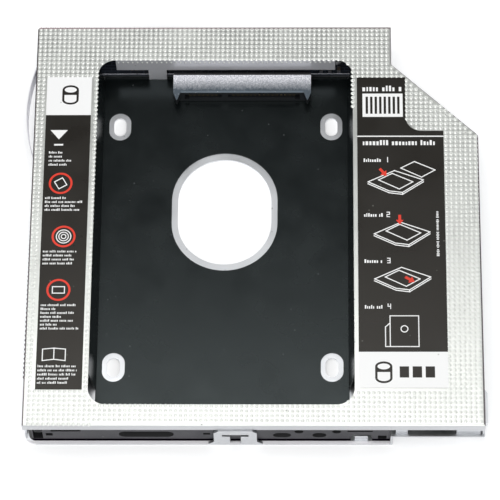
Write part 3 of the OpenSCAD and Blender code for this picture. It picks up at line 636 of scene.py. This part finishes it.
class CADDY_OT_pan(bpy.types.Operator):
    """Rounds the folded pan and its side spring and gives them their metal"""
    bl_idname = "caddy.pan"
    bl_label = "Folded pan and spring"

    def execute(self, context):
        sizes, colours = context.scene.caddy_sizes, context.scene.caddy_colours
        pan = round_edges(merged_copy("base_pan", "folded_pan"), sizes.sheet_edge)
        rolled = {"grain_scale": 1800.0, "bump": 0.25, "share": 0.02}
        give(pan, finish_of(
            "Rolled aluminium", two_tones(colours.pan, 0.93), darker(colours.pan, 0.55), metallic=1.0,
            rough=(0.28, 0.42), stretch=(1.0, 0.12, 1.0), **rolled))
        # In front of the strip, the pan gets a painted highlight below the lip's top
        pan.data.materials.append(finish_of(
            "Painted bright lip", two_tones(colours.lip, 0.95), darker(colours.pan, 0.7), metallic=0.0,
            rough=(0.3, 0.42), stretch=(0.12, 1.0, 1.0), **rolled))
        # Above the lip's top, a darker copy of the metal paints shade on the tab
        pan.data.materials.append(finish_of(
            "Painted shade tab", two_tones(colours.fold, 0.95), darker(colours.fold, 0.7), metallic=1.0,
            rough=(0.3, 0.42), stretch=(0.12, 1.0, 1.0), **rolled))
        lit_lip_slot, shaded_tab_slot = 1, 2
        only(pan)
        bpy.ops.object.mode_set(mode="EDIT")
        bpy.ops.mesh.select_all(action="SELECT")
        bpy.ops.mesh.bisect(plane_co=(0, STRIP_FACE, 0), plane_no=(0, 1, 0))
        bpy.ops.object.mode_set(mode="OBJECT")
        for face in pan.data.polygons:
            if face.center.y < STRIP_FACE:
                face.material_index = lit_lip_slot if face.center.z < PAINTED_LIP_TOP else shaded_tab_slot
        settle(pan, "pan_metal", "base_pan")
        spring = round_edges(merged_copy("side_spring", "leaf_spring"), sizes.film_edge)
        give(spring, finish_of(
            "Spring steel", (colours.spring, colours.spring_dull), (0.5, 0.5, 0.5), metallic=0.4,
            rough=(0.25, 0.4), grain_scale=2500.0, bump=0.2, share=0.02, stretch=(1.0, 1.0, 0.1)))
        settle(spring, "spring_steel", "side_spring")
        return {"FINISHED"}


class CADDY_OT_film(bpy.types.Operator):
    """Builds the black film tray of the drive bay"""
    bl_idname = "caddy.film"
    bl_label = "Insulating film"

    def execute(self, context):
        sizes, colours = context.scene.caddy_sizes, context.scene.caddy_colours
        film = round_edges(merged_copy("insulating_film", "film_tray"), sizes.film_edge, segments=1)
        black = finish_of("Black film", two_tones(colours.film, 0.75), (0.05, 0.055, 0.055), metallic=0.0,
                          rough=(0.2, 0.3), grain_scale=2200.0, bump=0.2, share=0.01)
        give(film, tint_gloss(black, (0.86, 0.99, 1.0)))
        settle(film, "black_film", "insulating_film")
        return {"FINISHED"}


def dark_below(material, height):
    """Darkens a finish below a height and takes its gloss, where the lip keeps the light off."""
    tree = material.node_tree
    shade = rise(tree, object_axis(tree, "Z"), height + FOOT_FADE, height)
    gloss = add_node(tree, "ShaderNodeMath", {0: shade, 1: -0.5, 2: 0.5}, operation="MULTIPLY_ADD")
    tree.links.new(gloss.outputs[0], tree.nodes["Principled BSDF"].inputs["Specular IOR Level"])
    return paint_over(material, shade, (0.002, 0.001, 0.003))


class CADDY_OT_front(bpy.types.Operator):
    """Builds the moulded strip behind the front lip"""
    bl_idname = "caddy.front"
    bl_label = "Front strip"

    def execute(self, context):
        sizes, colours = context.scene.caddy_sizes, context.scene.caddy_colours
        strip = round_edges(merged_copy("front_frame", "moulded_front"), sizes.plastic_edge)
        moulded = finish_of("Moulded plastic", two_tones(colours.plastic, 0.8), (0.12, 0.12, 0.13),
                            metallic=0.0, rough=(0.4, 0.55), grain_scale=4200.0, bump=0.5, share=0.02)
        give(strip, dark_below(moulded, STRIP_FOOT))
        strip.data.materials.append(finish_of(
            "Unlit plastic", ((0.004, 0.004, 0.005), (0.003, 0.003, 0.004)), (0.01, 0.01, 0.01),
            metallic=0.0, rough=(0.6, 0.7), grain_scale=4200.0, bump=0.3, share=0.01))
        unlit = 1
        face_y = min(corner[1] for corner in strip.bound_box)
        for face in strip.data.polygons:
            if face.center.y > face_y + sizes.plastic_edge * 1.5:
                face.material_index = unlit
        settle(strip, "frame_plastic", "front_frame")
        return {"FINISHED"}


# Connectors and board

class CADDY_OT_connectors(bpy.types.Operator):
    """Builds the two connectors and finishes the board, its contacts, screws and capacitors"""
    bl_idname = "caddy.connectors"
    bl_label = "Connectors and board"

    def execute(self, context):
        sizes, colours = context.scene.caddy_sizes, context.scene.caddy_colours
        fine_edge = sizes.plastic_edge * 0.6
        moulded = finish_of(
            "Connector plastic", two_tones(colours.connector, 0.8), (0.12, 0.12, 0.13), metallic=0.0,
            rough=(0.26, 0.4), grain_scale=3600.0, bump=0.3, share=0.02)
        receptacle = round_edges(merged_copy("drive_connector", "drive_receptacle"), fine_edge, segments=1)
        give(receptacle, moulded)
        # Top faces of the receptacle get the painted glare
        receptacle.data.materials.append(painted_glare_top(colours.connector_glare))
        glare_top_slot = 1
        top = max(corner[2] for corner in receptacle.bound_box)
        for face in receptacle.data.polygons:
            if face.normal.z > 0.5 and face.center.z > top - GLARE_DEPTH:
                face.material_index = glare_top_slot
        settle(receptacle, "connector_plastic", "drive_connector")

        plug = round_edges(merged_copy("bay_connector", "bay_plug"), fine_edge, segments=1)
        give(plug, moulded)
        settle(plug, "connector_plastic", "bay_connector")
        plated = finish_of(
            "Plated contacts", two_tones(colours.contact, 0.88), (0.5, 0.4, 0.2), metallic=1.0,
            rough=(0.2, 0.32), grain_scale=5200.0, bump=0.2, share=0.02, stretch=(1.0, 0.2, 1.0))
        for side in ("drive", "bay"):
            give(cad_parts[f"{side}_signal_contacts"], plated)
            give(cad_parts[f"{side}_power_contacts"], plated)

        board = round_edges(merged_copy("adapter_board", "black_board"), BOARD_EDGE, segments=1)
        give(board, board_finish(colours.board))
        # The board's front top edges get a painted glint in bright metal
        board.data.materials.append(finish_of(
            "Painted glint edge", ((0.6, 0.6, 0.64), (0.2, 0.2, 0.22)), (0.1, 0.1, 0.1), metallic=0.6,
            rough=(0.2, 0.4), grain_scale=1500.0, bump=0.5, share=0.1))
        glint_edge_slot = 1
        for face in board.data.polygons:
            if face.normal.y < -0.3 and face.normal.z > 0.3:
                face.material_index = glint_edge_slot
        settle(board, "board", "adapter_board")
        give(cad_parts["board_capacitors"], capacitor_finish())

        screws = round_edges(merged_copy("board_screws", "slotted_board_screws"), SCREW_EDGE)
        give(screws, finish_of(
            "Plated steel", ((0.62, 0.62, 0.64), (0.55, 0.55, 0.57)), (0.3, 0.3, 0.3), metallic=1.0,
            rough=(0.25, 0.38), grain_scale=3000.0, bump=0.2, share=0.02))
        settle(screws, "screw_steel", "board_screws")
        return {"FINISHED"}


def painted_glare_top(tone):
    """Painted glare on the connector's top: satin plastic that pales towards the rear, with small light
    specks.
    """
    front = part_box("drive_connector")[0].y
    material = finish_of(
        "Painted glare top", two_tones(tone, 0.75), (0.5, 0.52, 0.56), metallic=0.5, rough=(0.34, 0.5),
        grain_scale=2200.0, bump=0.5, share=0.1, speck_scale=2200.0)
    tree = material.node_tree
    place = add_node(tree, "ShaderNodeTexCoord").outputs["Object"]
    streaks = add_node(tree, "ShaderNodeVectorMath", {0: place, 1: (1.0, 0.6, 1.0)}, operation="MULTIPLY")
    noise = add_node(tree, "ShaderNodeTexNoise", {
        "Vector": streaks.outputs[0], "Scale": 1500.0, "Detail": 5.0})
    uneven = add_node(tree, "ShaderNodeMath", {
        0: noise.outputs["Fac"], 1: GLARE_UNEVEN, 2: object_axis(tree, "Y")}, operation="MULTIPLY_ADD")
    pale = rise(tree, uneven.outputs[0], front + GLARE_FADE[0], front + GLARE_FADE[1])
    glare_flecks = add_node(tree, "ShaderNodeTexNoise", {"Vector": place, "Scale": 2600.0, "Detail": 2.0})
    mottled = add_node(tree, "ShaderNodeMix", {
        "Factor": rise(tree, glare_flecks.outputs["Fac"], 0.4, 0.62), 6: (0.6, 0.61, 0.66, 1.0),
        7: (0.97, 0.97, 1.0, 1.0)}, data_type="RGBA")
    return paint_over(material, pale, mottled.outputs[2])


def board_finish(tone):
    """Black solder mask with faint copper runs under it."""
    material = finish_of(
        "Solder mask", two_tones(tone, 0.8), (0.3, 0.32, 0.34), metallic=0.0, rough=(0.12, 0.22),
        grain_scale=2600.0, bump=0.2, share=0.02)
    tree = material.node_tree
    place = add_node(tree, "ShaderNodeTexCoord").outputs["Object"]
    black, white = (0, 0, 0, 1), (1, 1, 1, 1)
    runs = add_node(tree, "ShaderNodeTexBrick", {
        "Vector": place, "Scale": 420.0, "Mortar Size": 0.06, "Mortar Smooth": 0.1, "Brick Width": 1.6,
        "Row Height": 0.4, "Color1": black, "Color2": black, "Mortar": white})
    return paint_over(material, runs.outputs["Color"], darker(tone, 2.2))


def capacitor_finish():
    """Dark ceramic with tinned ends."""
    low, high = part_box("board_capacitors")
    material = finish_of(
        "Ceramic", ((0.07, 0.055, 0.045), (0.06, 0.045, 0.035)), (0.03, 0.025, 0.02), metallic=0.0,
        rough=(0.3, 0.45), grain_scale=4000.0, bump=0.3, share=0.02)
    tree = material.node_tree
    depth = object_axis(tree, "Y")
    front = add_node(tree, "ShaderNodeMath", {0: depth, 1: low.y + CAPACITOR_END}, operation="LESS_THAN")
    rear = add_node(tree, "ShaderNodeMath", {0: depth, 1: high.y - CAPACITOR_END},
                    operation="GREATER_THAN")
    ends = add_node(tree, "ShaderNodeMath", {0: front.outputs[0], 1: rear.outputs[0]}, operation="ADD")
    tree.links.new(ends.outputs[0], tree.nodes["Principled BSDF"].inputs["Metallic"])
    return paint_over(material, ends.outputs[0], (0.3, 0.3, 0.32))


# Stickers and their print

def islands(mesh):
    """Groups of joined vertices in an edit mesh."""
    left = set(mesh.verts)
    while left:
        group, front = set(), [left.pop()]
        while front:
            vert = front.pop()
            group.add(vert)
            for edge in vert.link_edges:
                other = edge.other_vert(vert)
                if other in left:
                    left.remove(other)
                    front.append(other)
        yield group


def is_bar(low, high):
    """True for the plain bars that stand for rows of print."""
    short, long = sorted((high.x - low.x, high.y - low.y))
    return long > BAR_LENGTH and BAR_HEIGHTS[0] < short < BAR_HEIGHTS[1]


def printed_rows(piece, seed):
    """Turns each plain bar into a row of short dashes in word groups, which spell nothing."""
    draw = random.Random(seed)
    only(piece)
    bpy.ops.object.mode_set(mode="EDIT")
    mesh = bmesh.from_edit_mesh(piece.data)
    bpy.ops.mesh.select_all(action="DESELECT")
    rows = []
    for group in islands(mesh):
        low = Vector([min(v.co[i] for v in group) for i in range(3)])
        high = Vector([max(v.co[i] for v in group) for i in range(3)])
        if len(group) == 8 and is_bar(low, high):
            rows.append((low.copy(), high.copy()))
            for vert in group:
                vert.select_set(True)
    mesh.select_flush(True)
    bmesh.update_edit_mesh(piece.data)
    bpy.ops.mesh.delete(type="VERT")
    rows.sort(key=lambda row: (-row[0].y, row[0].x))
    for low, high in rows:
        size = high - low
        along = 0 if size.x > size.y else 1
        tall = size[1 - along]
        dash = tall * DASH_SHARE
        place, word = low[along], draw.randint(*WORD_DASHES)
        while place < high[along] - dash:
            wide = dash * draw.uniform(*DASH_WIDTHS)
            reach = tall * draw.choice(DASH_HEIGHTS)
            middle, scale = (low + high) / 2, size.copy()
            middle[along] = place + wide / 2
            scale[along], scale[1 - along] = wide, reach
            if along == 0:
                middle.y = low.y + reach / 2
            bpy.ops.mesh.primitive_cube_add(size=1, location=middle, scale=scale)
            word -= 1
            place += wide + dash * DASH_GAP
            if word == 0:
                word = draw.randint(*WORD_DASHES)
                place += dash * WORD_GAP
    bpy.ops.object.mode_set(mode="OBJECT")
    return piece


class CADDY_OT_labels(bpy.types.Operator):
    """Finishes the two stickers and their white and red print"""
    bl_idname = "caddy.labels"
    bl_label = "Stickers"

    def execute(self, context):
        colours = context.scene.caddy_colours
        black = finish_of("Black sticker", two_tones(colours.label, 0.8), (0.1, 0.1, 0.09), metallic=0.0,
                          rough=(0.26, 0.36), grain_scale=1500.0, bump=0.12, share=0.01)
        tint_gloss(black, (1.0, 0.97, 0.92))
        ink = {"metallic": 0.0, "rough": (0.3, 0.42), "grain_scale": 3000.0, "bump": 0.1, "share": 0.01}
        white = finish_of("White print", two_tones(colours.white_ink, 0.97), (0.6, 0.6, 0.58), **ink)
        red = finish_of("Red print", two_tones(colours.red_ink, 0.88), (0.5, 0.1, 0.07), **ink)
        for side, seed in (("left", 11), ("right", 23)):
            sticker = merged_copy(f"{side}_label", f"{side}_sticker")
            round_edges(sticker, STICKER_EDGE, segments=1)
            give(sticker, black)
            settle(sticker, "label_black", f"{side}_label")
            print_piece = merged_copy(f"{side}_label_white", f"{side}_white_print")
            printed_rows(print_piece, seed)
            give(print_piece, white)
            settle(print_piece, "label_white", f"{side}_label_white")
            give(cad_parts[f"{side}_label_red"], red)
        return {"FINISHED"}


# Stage, light and camera

def soft_light(name, place, aim, size, power):
    """Rectangular soft light that faces a point."""
    bpy.ops.object.light_add(type="AREA", location=place)
    light = bpy.context.active_object
    light.name = name
    light.data.shape = "RECTANGLE"
    light.data.size, light.data.size_y = size
    light.data.energy = power
    light.rotation_euler = (Vector(aim) - Vector(place)).to_track_quat("-Z", "Y").to_euler()
    return light


def floor_finish(tone):
    """Pale floor that shows as white to the camera, in gloss and in glass, and keeps shadows."""
    material = bpy.data.materials.new("Pale floor")
    material.use_nodes = True
    tree = material.node_tree
    tree.nodes.clear()
    rays = add_node(tree, "ShaderNodeLightPath")
    seen = rays.outputs["Is Camera Ray"]
    for kind in ("Is Glossy Ray", "Is Transmission Ray"):
        either = add_node(tree, "ShaderNodeMath", {0: seen, 1: rays.outputs[kind]}, operation="MAXIMUM")
        seen = either.outputs[0]
    glow = add_node(tree, "ShaderNodeMath", {0: seen, 1: FLOOR_GLOW}, operation="MULTIPLY")
    light = add_node(tree, "ShaderNodeEmission", {
        "Color": (1.0, 1.0, 1.0, 1.0), "Strength": glow.outputs[0]})
    matt = add_node(tree, "ShaderNodeBsdfDiffuse", {"Color": (*tone, 1.0)})
    both = add_node(tree, "ShaderNodeAddShader", {0: light.outputs[0], 1: matt.outputs[0]})
    out = add_node(tree, "ShaderNodeOutputMaterial", {"Surface": both.outputs[0]})
    out.is_active_output = True
    return material


def studio_world():
    """World that is brightest low at the front, dims overhead, and is white to the camera."""
    world = bpy.data.worlds.new("Soft studio")
    bpy.context.scene.world = world
    world.use_nodes = True
    tree = world.node_tree
    tree.nodes.clear()
    ray = add_node(tree, "ShaderNodeTexCoord").outputs["Generated"]
    way = add_node(tree, "ShaderNodeSeparateXYZ", {0: ray})
    front = add_node(tree, "ShaderNodeMapRange", {
        "Value": way.outputs["Y"], "From Min": -0.3, "From Max": -0.75, "To Min": 0.0, "To Max": 0.4},
        interpolation_type="SMOOTHSTEP")
    low = add_node(tree, "ShaderNodeMapRange", {
        "Value": way.outputs["Z"], "From Min": 0.84, "From Max": 0.5, "To Min": 0.15, "To Max": 1.4},
        interpolation_type="SMOOTHSTEP")
    level = add_node(tree, "ShaderNodeMath", {0: front.outputs[0], 1: low.outputs[0]}, operation="ADD")
    rim = add_node(tree, "ShaderNodeMapRange", {
        "Value": way.outputs["Z"], "From Min": 0.04, "From Max": 0.34, "To Min": 0.12, "To Max": 1.0},
        interpolation_type="SMOOTHSTEP")
    level = add_node(tree, "ShaderNodeMath", {0: level.outputs[0], 1: rim.outputs[0]}, operation="MULTIPLY")
    dome = add_node(tree, "ShaderNodeBackground", {
        "Color": (0.98, 0.99, 1.0, 1.0), "Strength": level.outputs[0]})
    white = add_node(tree, "ShaderNodeBackground", {"Color": (1.0, 1.0, 1.0, 1.0), "Strength": 1.0})
    rays = add_node(tree, "ShaderNodeLightPath")
    mixed = add_node(tree, "ShaderNodeMixShader", {
        0: rays.outputs["Is Camera Ray"], 1: dome.outputs[0], 2: white.outputs[0]})
    add_node(tree, "ShaderNodeOutputWorld", {"Surface": mixed.outputs[0]})


def place_camera():
    """Camera at the viewing angle, distance and focal length read from the photograph."""
    to_camera = (Matrix.Rotation(CAMERA_ROLL, 3, "Z") @ Matrix.Rotation(CAMERA_LIFT - math.pi / 2, 3, "X")
                 @ Matrix.Rotation(CAMERA_TURN, 3, "Z"))
    to_world = to_camera.transposed()
    place = to_world @ (Vector(CAMERA_AWAY) * MM) + Vector(CAMERA_OFFSET) * MM
    bpy.ops.object.camera_add(location=place, rotation=to_world.to_euler())
    camera = bpy.context.active_object
    camera.name = "Viewing camera"
    camera.data.sensor_width = SENSOR_WIDTH
    camera.data.lens = CAMERA_FOCAL / PICTURE_WIDTH * SENSOR_WIDTH
    camera.data.clip_start, camera.data.clip_end = CAMERA_RANGE
    bpy.context.scene.camera = camera


class CADDY_OT_stage(bpy.types.Operator):
    """Builds the pale floor, the softbox, the world and the camera"""
    bl_idname = "caddy.stage"
    bl_label = "Stage"

    def execute(self, context):
        colours = context.scene.caddy_colours
        bpy.ops.object.select_all(action="DESELECT")
        bpy.ops.mesh.primitive_plane_add(size=FLOOR_SIZE, location=(0, 0, -FLOOR_DROP))
        floor = bpy.context.active_object
        floor.name = "stage_floor"
        give(floor, floor_finish(colours.floor))
        below = (SOFTBOX_PLACE[0], SOFTBOX_PLACE[1], 0.0)
        soft_light("Overhead softbox", SOFTBOX_PLACE, below, SOFTBOX_SIZE, SOFTBOX_POWER)
        studio_world()
        place_camera()
        context.scene.view_settings.view_transform = "Standard"
        return {"FINISHED"}


class CADDY_PT_panel(bpy.types.Panel):
    """Sizes and colours of the caddy, and a button for each of its pieces"""
    bl_idname = "CADDY_PT_panel"
    bl_label = "Drive caddy"
    bl_space_type = "VIEW_3D"
    bl_region_type = "UI"
    bl_category = "Caddy"

    def draw(self, context):
        for group in (context.scene.caddy_sizes, context.scene.caddy_colours):
            for name in group.bl_rna.properties.keys():
                if name not in ("rna_type", "name"):
                    self.layout.prop(group, name)
        for operator in OPERATORS:
            self.layout.operator(operator.bl_idname)


OPERATORS = (CADDY_OT_cover, CADDY_OT_pan, CADDY_OT_film, CADDY_OT_front, CADDY_OT_connectors,
             CADDY_OT_labels, CADDY_OT_stage)
CLASSES = (CaddySizes, CaddyColours, *OPERATORS, CADDY_PT_panel)


def register():
    for cls in CLASSES:
        bpy.utils.register_class(cls)
    bpy.types.Scene.caddy_sizes = PointerProperty(type=CaddySizes)
    bpy.types.Scene.caddy_colours = PointerProperty(type=CaddyColours)


def unregister():
    del bpy.types.Scene.caddy_colours
    del bpy.types.Scene.caddy_sizes
    for cls in reversed(CLASSES):
        bpy.utils.unregister_class(cls)


def main():
    register()
    bpy.ops.object.select_all(action="DESELECT")
    bpy.ops.caddy.cover()
    bpy.ops.caddy.pan()
    bpy.ops.caddy.film()
    bpy.ops.caddy.front()
    bpy.ops.caddy.connectors()
    bpy.ops.caddy.labels()
    bpy.ops.caddy.stage()


if __name__ == "__main__":
    main()
